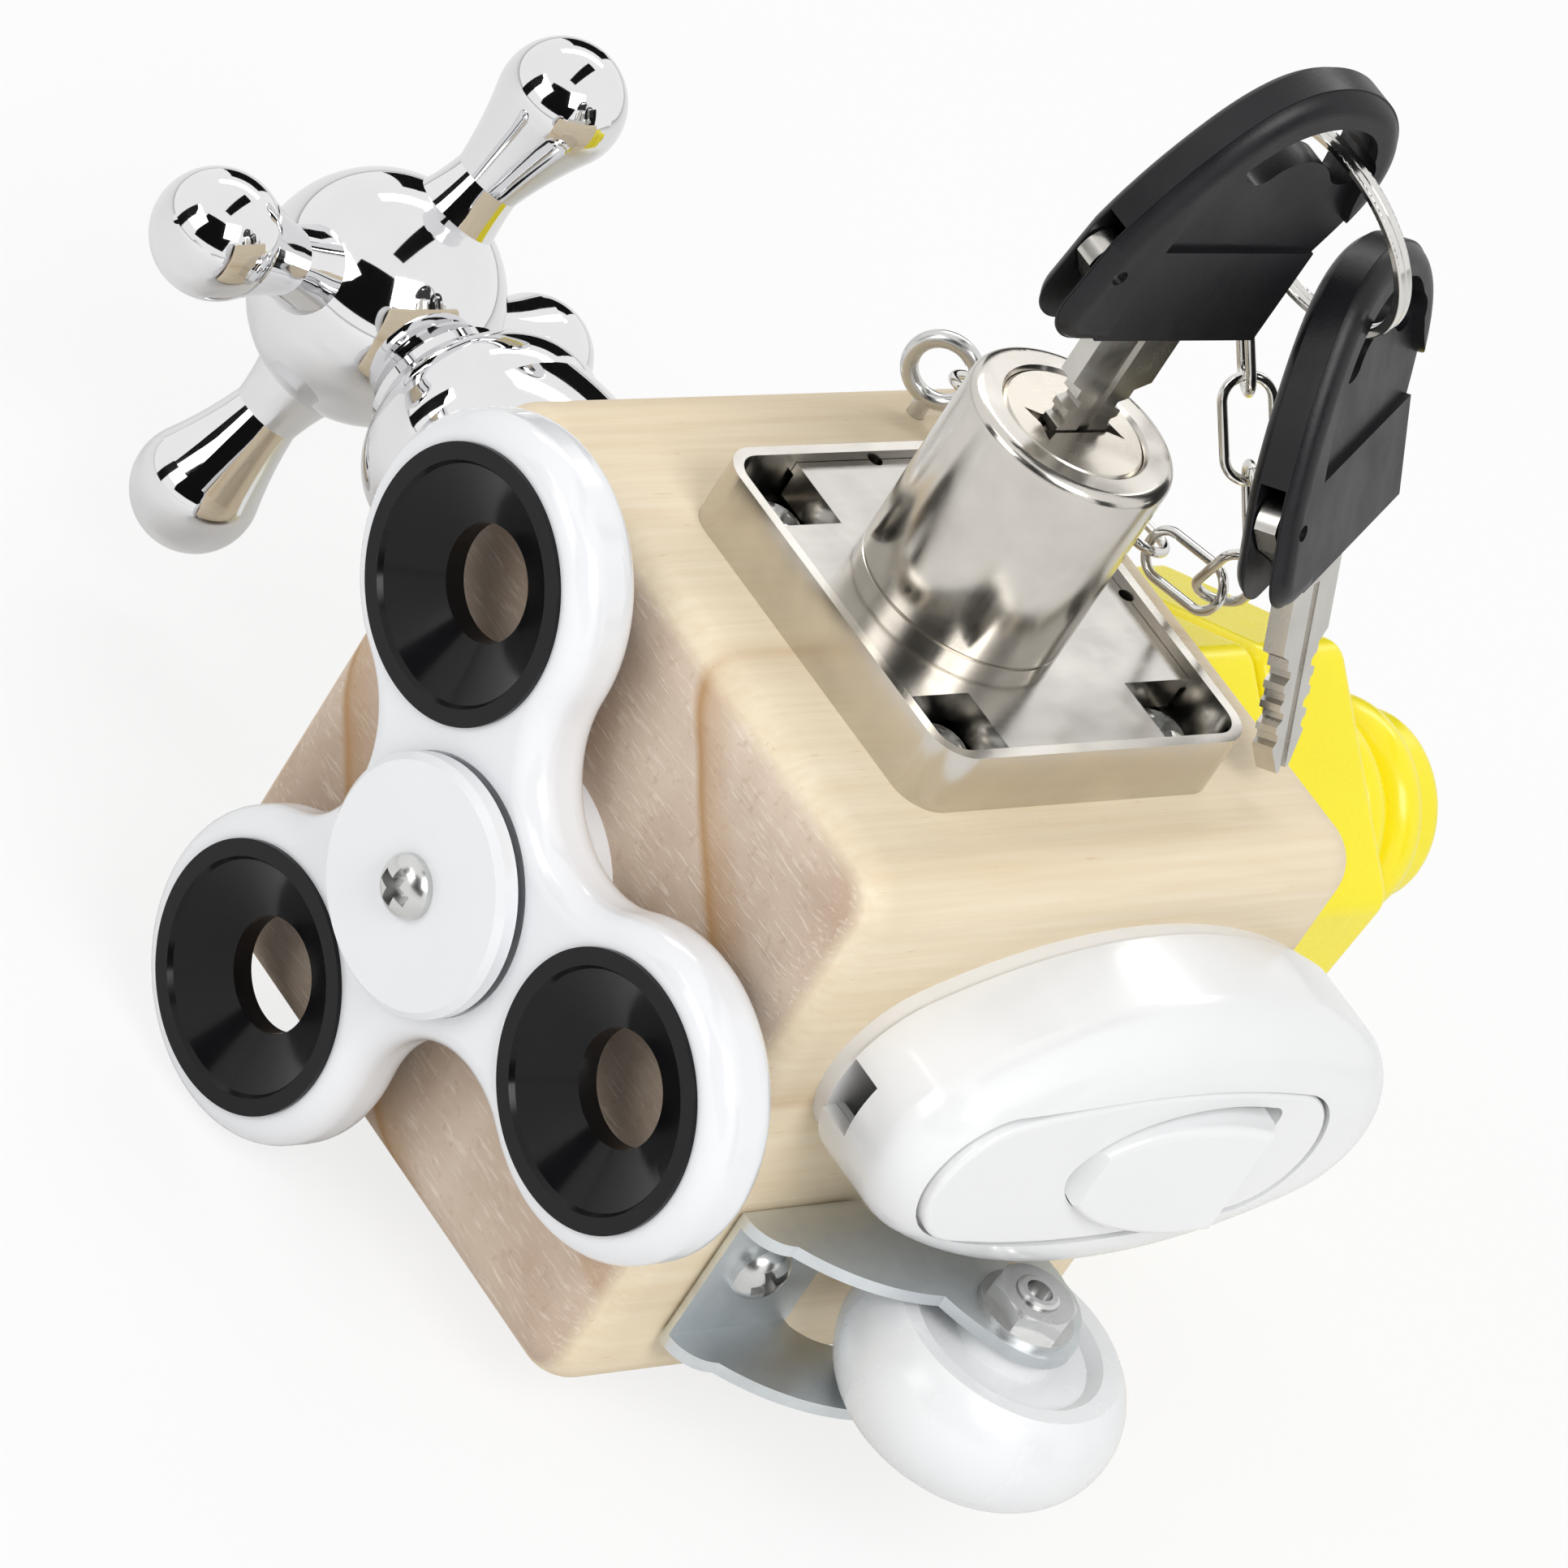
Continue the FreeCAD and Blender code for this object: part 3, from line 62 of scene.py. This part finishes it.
camera_data = bpy.data.cameras.new("camera")
camera_data.lens = LENS_MM
camera_data.sensor_width = SENSOR_MM
camera = bpy.data.objects.new("camera", camera_data)
bpy.context.scene.collection.objects.link(camera)
turn = Matrix((PICTURE_RIGHT, -PICTURE_DOWN, -LOOKING)).transposed()
camera.matrix_world = Matrix.Translation(Vector(CAMERA_PLACE_MM) * MM) @ turn.to_4x4()
bpy.context.scene.camera = camera
print("camera distance", round(camera.location.length, 3), "m")

# %% [markdown]
# ## Building finishes from nodes
# Each finish is a small network that ends in one Principled shader. Writing every node by
# hand takes many lines, so one helper adds a node and fills its sockets: a value is set,
# and another node's output is linked. The textures are laid out in millimetres of the real
# object, so a size in the code is a size that a ruler would show.

# %% Helpers that add a node and start a finish
def add(tree, kind, sockets=None, **settings):
    node = tree.nodes.new(kind)
    for name, value in settings.items():
        setattr(node, name, value)
    for name, value in (sockets or {}).items():
        if isinstance(value, bpy.types.NodeSocket):
            tree.links.new(value, node.inputs[name])
        else:
            node.inputs[name].default_value = value
    return node


def place_in_mm(tree):
    place = add(tree, "ShaderNodeTexCoord").outputs["Object"]
    return add(tree, "ShaderNodeVectorMath", {0: place, "Scale": 1 / MM},
               operation="SCALE").outputs[0]


def start_finish(name):
    material = bpy.data.materials.new(name)
    material.use_nodes = True
    tree = material.node_tree
    return material, tree, tree.nodes["Principled BSDF"], place_in_mm(tree)


print("helpers ready")

# %% [markdown]
# Stretching the space along one axis turns round specks into streaks, which is how both
# wood fibres and brushing lines are made. A remap then decides how much of the noise shows,
# and a mix lays one colour over another by that amount.

# %% Streaks, remaps and mixes
def noise(tree, mm, size, stretch=(1, 1, 1), detail=4.0, rough=0.55):
    squeezed = add(tree, "ShaderNodeVectorMath",
                   {0: mm, 1: [1 / (size * s) for s in stretch]}, operation="MULTIPLY")
    texture = add(tree, "ShaderNodeTexNoise",
                  {"Vector": squeezed.outputs[0], "Scale": 1.0,
                   "Detail": detail, "Roughness": rough})
    return texture.outputs["Fac"]


def remap(tree, value, low, high, out_low=0.0, out_high=1.0):
    node = add(tree, "ShaderNodeMapRange",
               {"Value": value, "From Min": low, "From Max": high,
                "To Min": out_low, "To Max": out_high})
    return node.outputs["Result"]


def calculate(tree, operation, first, second=0.0):
    return add(tree, "ShaderNodeMath", {0: first, 1: second}, operation=operation).outputs[0]


def times(tree, first, second):
    return calculate(tree, "MULTIPLY", first, second)


# The colour mode of the Mix node has its own sockets, known by their numbers
MIX_AMOUNT, MIX_FIRST, MIX_SECOND, MIX_RESULT = 0, 6, 7, 2


def mix_colour(tree, amount, first, second):
    colours = {MIX_AMOUNT: amount}
    for socket, colour in ((MIX_FIRST, first), (MIX_SECOND, second)):
        colours[socket] = (*colour, 1.0) if isinstance(colour, tuple) else colour
    node = add(tree, "ShaderNodeMix", data_type="RGBA")
    for socket, value in colours.items():
        if isinstance(value, bpy.types.NodeSocket):
            tree.links.new(value, node.inputs[socket])
        else:
            node.inputs[socket].default_value = value
    return node.outputs[MIX_RESULT]


def set_bump(tree, shader, height, depth_mm, strength=0.6):
    bump = add(tree, "ShaderNodeBump",
               {"Height": height, "Strength": strength, "Distance": depth_mm * MM})
    tree.links.new(bump.outputs["Normal"], shader.inputs["Normal"])


def wear(*node_names, finish):
    """Give a finish to solids that came with the frame."""
    for name in node_names:
        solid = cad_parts[name]
        solid.data.materials.clear()
        solid.data.materials.append(finish)


print("texture helpers ready")

# %% [markdown]
# ## Pine
# The block is sawn from a board, so its grain runs along X: the two X faces show end grain,
# brown-pink with pale saw marks and a few wide growth lines, and the other faces show pale
# cream wood with fine fibres. One finish does both, by asking which way the surface faces.
# Growth rings are real cylinders round a distant centre, so the lines on the end face run
# on over the edge to the side faces, as they do in a real block. A flat picture of wood
# would break at every edge.

# %% Growth rings round a distant pith
PITH_MM = (-124.0, 169.0)
RING_STEP_MM = 43.0
RING_WOBBLE_MM = 2.2
RING_LEVELS = ((0.20, 0.0), (0.27, 0.35), (0.29, 0.0), (0.70, 0.0),
               (0.775, 0.55), (0.795, 1.0), (0.815, 0.0))

pine, tree, shader, mm = start_finish("pine")
across = add(tree, "ShaderNodeSeparateXYZ", {0: mm}).outputs
wobble = remap(tree, noise(tree, mm, 22, (6, 1, 1), 2.0), 0.0, 1.0,
               -RING_WOBBLE_MM, RING_WOBBLE_MM)
from_y = calculate(tree, "SUBTRACT", calculate(tree, "ADD", across[1], wobble), PITH_MM[0])
from_z = calculate(tree, "SUBTRACT", across[2], PITH_MM[1])
squares = calculate(tree, "ADD", calculate(tree, "POWER", from_y, 2.0),
                    calculate(tree, "POWER", from_z, 2.0))
radius = calculate(tree, "SQRT", squares)
phase = calculate(tree, "FRACT", calculate(tree, "DIVIDE", radius, RING_STEP_MM))
ring_ramp = add(tree, "ShaderNodeValToRGB", {"Fac": phase})
for spot, level in RING_LEVELS:
    stop = ring_ramp.color_ramp.elements.new(spot)
    stop.color = (level, level, level, 1)
ring_ramp.color_ramp.elements[-1].color = (0, 0, 0, 1)
line = ring_ramp.outputs["Color"]
print("pine rings every", RING_STEP_MM, "mm")

# %% [markdown]
# End grain is cut across the fibres. It is darker, it has pores, and the saw leaves short
# pale scratches. Each of these is one noise at its real size, laid over the last.

# %% End grain
END_GRAIN = (0.50, 0.37, 0.275)
END_GRAIN_PALE = (0.68, 0.56, 0.45)
END_GRAIN_WARM = (0.60, 0.41, 0.26)
SAW_MARK = (0.90, 0.80, 0.68)
PORE = (0.40, 0.26, 0.16)
GROWTH_LINE = (0.42, 0.23, 0.085)

saw = remap(tree, noise(tree, mm, 0.42, (1, 7, 0.85), 3.0, 0.6), 0.53, 0.70)
cloud = remap(tree, noise(tree, mm, 15, (1, 1, 1.6), 3.0), 0.35, 0.68)
pores = remap(tree, noise(tree, mm, 0.9, detail=2.0), 0.60, 0.72)
warmth = remap(tree, noise(tree, mm, 26, detail=1.0), 0.5, 0.75, 0.0, 0.55)
end_colour = mix_colour(tree, cloud, END_GRAIN, END_GRAIN_PALE)
for amount, over in ((warmth, END_GRAIN_WARM),
                     (times(tree, saw, 0.45), SAW_MARK),
                     (times(tree, pores, 0.30), PORE),
                     (times(tree, line, 0.90), GROWTH_LINE)):
    end_colour = mix_colour(tree, amount, end_colour, over)
print("end grain layers 5")

# %% [markdown]
# Along the board the same wood shows as long pale streaks with a few short brown flecks.
# The two colours meet at the rounded edges, where the surface turns away from X.

# %% Long grain, and both on one block
SIDE_PALE = (0.84, 0.735, 0.555)
SIDE_DEEP = (0.72, 0.56, 0.36)
FLECK = (0.60, 0.40, 0.20)

fibre = remap(tree, noise(tree, mm, 0.8, (26, 1, 1), 5.0, 0.6), 0.36, 0.66)
broad = remap(tree, noise(tree, mm, 7.0, (7, 1, 1), 3.0), 0.40, 0.70)
fleck = remap(tree, noise(tree, mm, 0.55, (7, 1, 1), 2.0), 0.70, 0.80)
side_colour = mix_colour(tree, times(tree, broad, 0.42), SIDE_PALE, SIDE_DEEP)
for amount, over in ((times(tree, fibre, 0.40), SIDE_DEEP),
                     (times(tree, fleck, 0.60), FLECK),
                     (times(tree, line, 0.32), GROWTH_LINE)):
    side_colour = mix_colour(tree, amount, side_colour, over)

normal = add(tree, "ShaderNodeNewGeometry").outputs["Normal"]
facing_x = add(tree, "ShaderNodeSeparateXYZ", {0: normal}).outputs[0]
endwise = remap(tree, calculate(tree, "ABSOLUTE", facing_x), 0.60, 0.82)
pine_colour = mix_colour(tree, endwise, side_colour, end_colour)
tree.links.new(pine_colour, shader.inputs["Base Color"])
tree.links.new(remap(tree, fibre, 0, 1, 0.50, 0.64), shader.inputs["Roughness"])
shader.inputs["Specular IOR Level"].default_value = 0.35
relief = calculate(tree, "ADD", times(tree, saw, endwise), times(tree, fibre, 0.5))
set_bump(tree, shader, relief, 0.06)
wear("wood_cube", finish=pine)
print("pine nodes", len(tree.nodes))

# %% [markdown]
# ## Moulded plastics
# Spinner, rings, switch, bolt and key grips all come out of a mould, so they differ in
# colour, gloss and how fine the mould's texture was. One maker covers them. Even a glossy
# part has faint waves and a slightly uneven shine, which a single flat value can't show.
# The key grips have the fine grain of a spark-eroded mould, so their grain is the deepest.

# %% One maker for every moulded plastic
def moulded(name, colour, gloss, grain_mm, grain_depth, tint, coat=0.0, shine=0.5):
    material, tree, shader, mm = start_finish(name)
    patch = remap(tree, noise(tree, mm, 9.0, detail=3.0), 0.3, 0.7)
    darker = tuple(c * (1 - tint) for c in colour)
    tree.links.new(mix_colour(tree, patch, colour, darker), shader.inputs["Base Color"])
    smear = noise(tree, mm, 3.0, (1, 1, 3), 4.0)
    uneven = remap(tree, smear, 0.3, 0.7, gloss * 0.85, gloss * 1.25)
    tree.links.new(uneven, shader.inputs["Roughness"])
    shader.inputs["Specular IOR Level"].default_value = shine
    shader.inputs["Coat Weight"].default_value = coat
    shader.inputs["Coat Roughness"].default_value = 0.08
    set_bump(tree, shader, noise(tree, mm, grain_mm, detail=2.0), grain_depth)
    return material


white_shell = moulded("white_shell", (0.83, 0.84, 0.86), gloss=0.16,
                      grain_mm=1.6, grain_depth=0.004, tint=0.02, coat=0.35)
black_ring = moulded("black_ring", (0.006, 0.006, 0.007), gloss=0.13,
                     grain_mm=2.0, grain_depth=0.003, tint=0.3, shine=0.22)
switch_white = moulded("switch_white", (0.84, 0.845, 0.85), gloss=0.20,
                       grain_mm=1.2, grain_depth=0.004, tint=0.02, coat=0.3)
yellow_plastic = moulded("yellow_plastic", (0.97, 0.84, 0.015), gloss=0.26,
                         grain_mm=2.2, grain_depth=0.002, tint=0.04, coat=0.15)
key_black = moulded("key_black", (0.010, 0.010, 0.012), gloss=0.34,
                    grain_mm=0.35, grain_depth=0.02, tint=0.25, shine=0.32)
wheel_milky = moulded("wheel_milky", (0.84, 0.85, 0.86), gloss=0.24,
                      grain_mm=2.5, grain_depth=0.001, tint=0.03, coat=0.2)
cage_nylon = moulded("cage_nylon", (0.35, 0.33, 0.30), gloss=0.45,
                     grain_mm=0.5, grain_depth=0.01, tint=0.1)

wear("spinner_body", "spinner_front_cap", "spinner_rear_cap", finish=white_shell)
wear("spinner_ring_1", "spinner_ring_2", "spinner_ring_3", finish=black_ring)
wear("switch_base", "switch_cover", "switch_panel", "switch_rocker", finish=switch_white)
wear("toy_bolt", "toy_nut", finish=yellow_plastic)
wear("key_1_head", "key_2_head", finish=key_black)
wear("caster_wheel", finish=wheel_milky)
wear("bearing_cage", finish=cage_nylon)
print("moulded plastics done")

# %% [markdown]
# ## Plated metals
# Plating is metal seen through its polish: a mirror on the tap, satin on the lock, and a
# streaky zinc on the pressed fork. The same maker takes how rough the shine is at its
# smoothest and dullest, and in which direction the polishing lines run. The direction comes
# from stretching the noise, so it needs no extra shader.

# %% One maker for every plated metal
def plated(name, colour, smooth, dull, lines_mm, along, depth, blotch=0.10):
    material, tree, shader, mm = start_finish(name)
    cloud = remap(tree, noise(tree, mm, 5.0, detail=4.0), 0.35, 0.68)
    lines = noise(tree, mm, lines_mm, along, 3.0)
    darker = tuple(c * (1 - blotch) for c in colour)
    tree.links.new(mix_colour(tree, cloud, colour, darker), shader.inputs["Base Color"])
    shader.inputs["Metallic"].default_value = 1.0
    uneven = calculate(tree, "ADD", times(tree, cloud, 0.6), times(tree, lines, 0.4))
    tree.links.new(remap(tree, uneven, 0.1, 0.8, smooth, dull), shader.inputs["Roughness"])
    set_bump(tree, shader, lines, depth)
    return material


NICKEL = (0.66, 0.63, 0.58)
NO_LINES = (1, 1, 1)
SATIN = {"smooth": 0.13, "dull": 0.24, "lines_mm": 0.22, "along": (1, 1, 14), "depth": 0.002}

tap_chrome = plated("tap_chrome", (0.80, 0.80, 0.81), 0.03, 0.06, 2.0, NO_LINES, 0.002, 0.03)
case_nickel = plated("satin_nickel", NICKEL, **SATIN)
barrel_nickel = plated("barrel_nickel", NICKEL, **SATIN)
cover_nickel = plated("cover_nickel", (0.52, 0.50, 0.47), 0.14, 0.24, 0.22, (12, 1, 1), 0.002)
plug_nickel = plated("plug_nickel", (0.58, 0.54, 0.48), 0.20, 0.32, 0.22, (14, 1, 1), 0.003)
key_steel = plated("key_steel", (0.62, 0.60, 0.56), 0.18, 0.30, 0.20, (1, 1, 14), 0.003)
ring_nickel = plated("ring_nickel", (0.74, 0.73, 0.70), 0.08, 0.16, 0.5, NO_LINES, 0.001)
bearing_steel = plated("bearing_steel", (0.66, 0.66, 0.67), 0.08, 0.15, 0.3, NO_LINES, 0.001)
zinc_screw = plated("zinc_screw", (0.68, 0.68, 0.67), 0.18, 0.32, 0.5, NO_LINES, 0.003)
fork_zinc = plated("fork_zinc", (0.78, 0.82, 0.84), 0.30, 0.48, 0.35, (10, 1, 1), 0.004, 0.14)
axle_steel = plated("axle_steel", (0.66, 0.66, 0.655), 0.18, 0.30, 0.3, (1, 1, 8), 0.003)
brass = plated("brass", (0.72, 0.52, 0.22), 0.20, 0.35, 0.3, (8, 1, 1), 0.003)

wear("tap_flange", "tap_collar", "tap_handle", "tap_index_cap", finish=tap_chrome)
wear("lock_case", finish=case_nickel)
wear("lock_barrel", "lock_bolt", finish=barrel_nickel)
wear("lock_cover", finish=cover_nickel)
wear("lock_plug", finish=plug_nickel)
wear("key_1_blade", "key_2_blade", "key_1_pin", "key_2_pin", "switch_pin", finish=key_steel)
wear("key_ring", "chain_lower_links", "chain_upper_links", finish=ring_nickel)
wear("bearing_inner_race", "bearing_outer_race", "bearing_balls", finish=bearing_steel)
wear("spinner_screw", "lock_screws", "tap_screw", "toy_bolt_screw", "switch_case_screws",
     "switch_mount_screws", "caster_screw", "screw_eye", finish=zinc_screw)
wear("caster_fork", finish=fork_zinc)
wear("caster_axle", "caster_nut", finish=axle_steel)
wear("lock_wafers", "tap_spindle", "switch_contacts", "switch_bridge", finish=brass)
print("plated metals done")

# %% [markdown]
# ## Painted shade inside the lock
# The corner windows of the cover look into the case, where little light reaches, so they read
# as black with the screw heads shining in them. The case is one solid, so its finish asks
# where the surface is: anything further in than the wall, and below the rim, gets a painted
# shade colour.

# %% Paint shade into the case behind its wall
WALL_MM = 1.3
RIM_MM = 0.6
CASE_PAINTED_SHADE = (0.06, 0.0576, 0.054)

tree = case_nickel.node_tree
shader = tree.nodes["Principled BSDF"]
low, high = (Vector(corner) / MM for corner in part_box("lock_case"))
across = add(tree, "ShaderNodeSeparateXYZ", {0: place_in_mm(tree)}).outputs
painted_shade_mask = calculate(tree, "LESS_THAN", across[2], high[2] - RIM_MM)
for axis in (0, 1):
    past_low = calculate(tree, "GREATER_THAN", across[axis], low[axis] + WALL_MM)
    past_high = calculate(tree, "LESS_THAN", across[axis], high[axis] - WALL_MM)
    painted_shade_mask = times(tree, painted_shade_mask, times(tree, past_low, past_high))
plate = shader.inputs["Base Color"].links[0].from_socket
# Painted shade: inside the walls the plating colour is swapped for a near-black copy of
# itself
tree.links.new(mix_colour(tree, painted_shade_mask, plate, CASE_PAINTED_SHADE), shader.inputs["Base Color"])
print("case is dark between", round(low[0] + WALL_MM, 1), "and", round(high[0] - WALL_MM, 1))

# %% [markdown]
# ## Floor
# The picture is a plain studio shot on white. The floor lies just under the lowest point of
# the solids, and looks white to the camera while it still takes a soft shadow. It could be
# lit until it burns out, but that light would bleach the object too, so the camera sees a
# sheet of plain white mixed into the paper instead.

# %% A white floor that keeps the shadow
FLOOR_Z = solids_box[0][2] - 0.2 * MM
FLOOR_HALF = 3.0
PAPER = (0.86, 0.86, 0.86, 1)
SHEET_SHARE = 0.80


def sheet(name, half_width, half_height, z, material):
    mesh = bpy.data.meshes.new(name)
    w, h = half_width, half_height
    mesh.from_pydata([(-w, -h, z), (w, -h, z), (w, h, z), (-w, h, z)], [], [(0, 1, 2, 3)])
    mesh.materials.append(material)
    thing = bpy.data.objects.new(name, mesh)
    bpy.context.scene.collection.objects.link(thing)
    return thing


floor_white = bpy.data.materials.new("floor_white")
floor_white.use_nodes = True
tree = floor_white.node_tree
tree.nodes.clear()
seen = add(tree, "ShaderNodeLightPath")
paper = add(tree, "ShaderNodeBsdfDiffuse", {"Color": PAPER})
light_sheet = add(tree, "ShaderNodeEmission", {"Color": (1, 1, 1, 1), "Strength": 1.0})
share = times(tree, seen.outputs["Is Camera Ray"], SHEET_SHARE)
blend = add(tree, "ShaderNodeMixShader",
            {0: share, 1: paper.outputs[0], 2: light_sheet.outputs[0]})
add(tree, "ShaderNodeOutputMaterial", {"Surface": blend.outputs[0]})
sheet("floor", FLOOR_HALF, FLOOR_HALF, FLOOR_Z, floor_white)
print("floor at", round(FLOOR_Z / MM, 2), "mm")

# %% [markdown]
# ## World
# The world is white where the camera or a reflection sees it, and gentler as a lamp, so
# pale plastic keeps its shading.

# %% White to look at, gentle as a lamp
WORLD_STRENGTH = 0.55
world = bpy.data.worlds.new("world")
bpy.context.scene.world = world
world.use_nodes = True
tree = world.node_tree
tree.nodes.clear()
seen = add(tree, "ShaderNodeLightPath").outputs
direct = calculate(tree, "MAXIMUM", seen["Is Camera Ray"], seen["Is Transmission Ray"])
direct = calculate(tree, "MAXIMUM", direct, seen["Is Glossy Ray"])
strength = remap(tree, direct, 0, 1, WORLD_STRENGTH, 1.0)
sky = add(tree, "ShaderNodeBackground", {"Color": (1, 1, 1, 1), "Strength": strength})
add(tree, "ShaderNodeOutputWorld", {"Surface": sky.outputs[0]})
print("world", WORLD_STRENGTH)

# %% [markdown]
# ## Lamps
# Each lamp is aimed at the middle of the block. The key lamp stands high on the switch's
# side, the fill is wide and weak, and one strip from behind brightens the top edges. Big
# soft lamps give the long highlights on the plastic.

# %% Soft lamps
AIM = (0.0, 0.0, 0.04)
LAMPS = {
    "key_lamp": ((-0.30, -0.75, 0.85), (0.55, 0.55), 6.2),
    "fill_lamp": ((-0.95, 0.25, 0.55), (0.7, 0.5), 2.6),
    "back_strip": ((0.45, 0.55, 0.70), (0.8, 0.15), 2.0),
}


def lamp(name, place, size, power):
    data = bpy.data.lights.new(name, "AREA")
    data.shape = "RECTANGLE"
    data.size, data.size_y = size
    data.energy = power
    thing = bpy.data.objects.new(name, data)
    thing.location = place
    aim = Vector(AIM) - thing.location
    thing.rotation_euler = aim.to_track_quat("-Z", "Y").to_euler()
    bpy.context.scene.collection.objects.link(thing)


for lamp_name, (place, size, power) in LAMPS.items():
    lamp(lamp_name, place, size, power)
print("lamps", len(LAMPS))

# %% [markdown]
# ## Black cards
# Chrome shows whatever stands round it, and all white would make it look like chalk. Black
# cards that only reflections can see draw the dark bands that make it read as metal. The
# largest stands behind the camera, where the real studio was dark.

# %% Black cards for the metal to mirror
CARDS = {
    "card_left": ((-0.9, 0.5, 0.25), (0.30, 0.9)),
    "card_right": ((0.25, -0.95, 0.22), (0.35, 0.8)),
    "card_by_camera": ((-1.25, -0.87, 0.97), (2.0, 1.5)),
    "card_behind": ((0.75, 0.75, 0.30), (0.5, 0.5)),
    "card_top": ((0.1, 0.05, 1.0), (0.22, 0.9)),
}

card_black = bpy.data.materials.new("card_black")
card_black.use_nodes = True
card_shader = card_black.node_tree.nodes["Principled BSDF"]
card_shader.inputs["Base Color"].default_value = (0.01, 0.01, 0.01, 1)
card_shader.inputs["Roughness"].default_value = 1.0
card_shader.inputs["Specular IOR Level"].default_value = 0.0

for card_name, (middle, (width, height)) in CARDS.items():
    card = sheet(card_name, width / 2, height / 2, 0.0, card_black)
    card.location = middle
    facing = Vector(AIM) - Vector(middle)
    card.rotation_euler = facing.to_track_quat("Z", "Y").to_euler()
    card.visible_camera = False
    card.visible_diffuse = False
    card.visible_shadow = False
    card.visible_transmission = False
print("cards", len(CARDS))

# %% [markdown]
# ## Finish
# Plain view settings keep a colour looking as it was written.

# %% Plain view settings
bpy.context.scene.view_settings.view_transform = "Standard"
